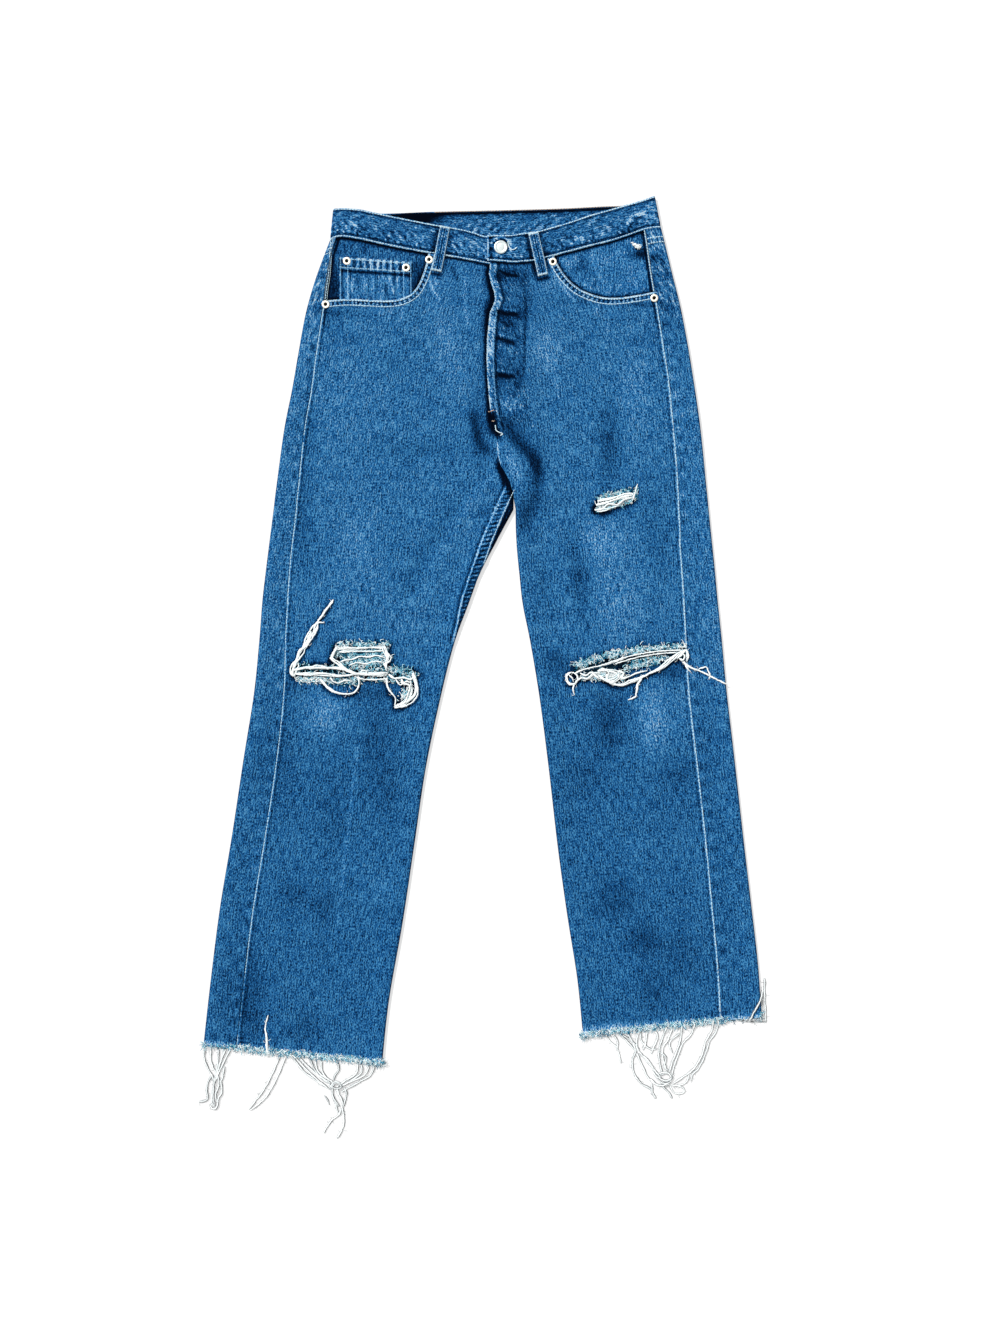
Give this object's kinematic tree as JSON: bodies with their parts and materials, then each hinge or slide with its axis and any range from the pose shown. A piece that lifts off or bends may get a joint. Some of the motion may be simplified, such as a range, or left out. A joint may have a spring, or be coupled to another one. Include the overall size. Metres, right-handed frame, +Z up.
{
  "type": "ripped jeans",
  "caption": "Blue denim button-fly jeans laid flat, front up, with scooped pockets, ripped knees, a torn thigh and cut hems with long frayed threads.",
  "frame": {"origin": "middle of the bounding box in plan, on the surface the garment lies on", "axes": "+Z up from the surface, +Y from the hems to the waist, +X towards the wearer's left side"},
  "size_m": [0.684, 1.1328, 0.0128],
  "materials": {
    "denim": "washed mid-blue indigo twill",
    "denim_pocket": "less faded indigo twill",
    "yarn": "undyed cotton yarn",
    "button_metal": "worn nickel plate",
    "rivet_metal": "worn pale rivet"
  },
  "bodies": {
    "root": {"front_right": "denim", "front_left": "denim", "back_right": "denim", "back_left": "denim", "yoke_right": "denim", "yoke_left": "denim", "waistband": "denim", "pocket_facing_right": "denim_pocket", "pocket_facing_left": "denim_pocket", "coin_pocket": "denim_pocket", "fly_extension": "denim_pocket", "patch_pocket_right": "denim", "patch_pocket_left": "denim", "belt_loop_front_right": "denim", "belt_loop_front_left": "denim", "belt_loop_side_right": "denim", "belt_loop_side_left": "denim", "belt_loop_centre_back": "denim", "waist_button": "button_metal", "fly_button_1": "button_metal", "fly_button_2": "button_metal", "fly_button_3": "button_metal", "rivet_coin_outer": "rivet_metal", "rivet_coin_inner": "rivet_metal", "rivet_right_mouth": "rivet_metal", "rivet_right_side": "rivet_metal", "rivet_left_mouth": "rivet_metal", "rivet_left_side": "rivet_metal", "hem_fringe_right_outer": "yarn", "hem_fringe_right_middle": "yarn", "hem_fringe_right_inner": "yarn", "hem_fringe_left_main": "yarn", "hem_fringe_left_corner": "yarn", "knee_threads_right": "yarn", "knee_threads_left": "yarn", "thigh_threads_left": "yarn"}
  },
  "joints": []
}
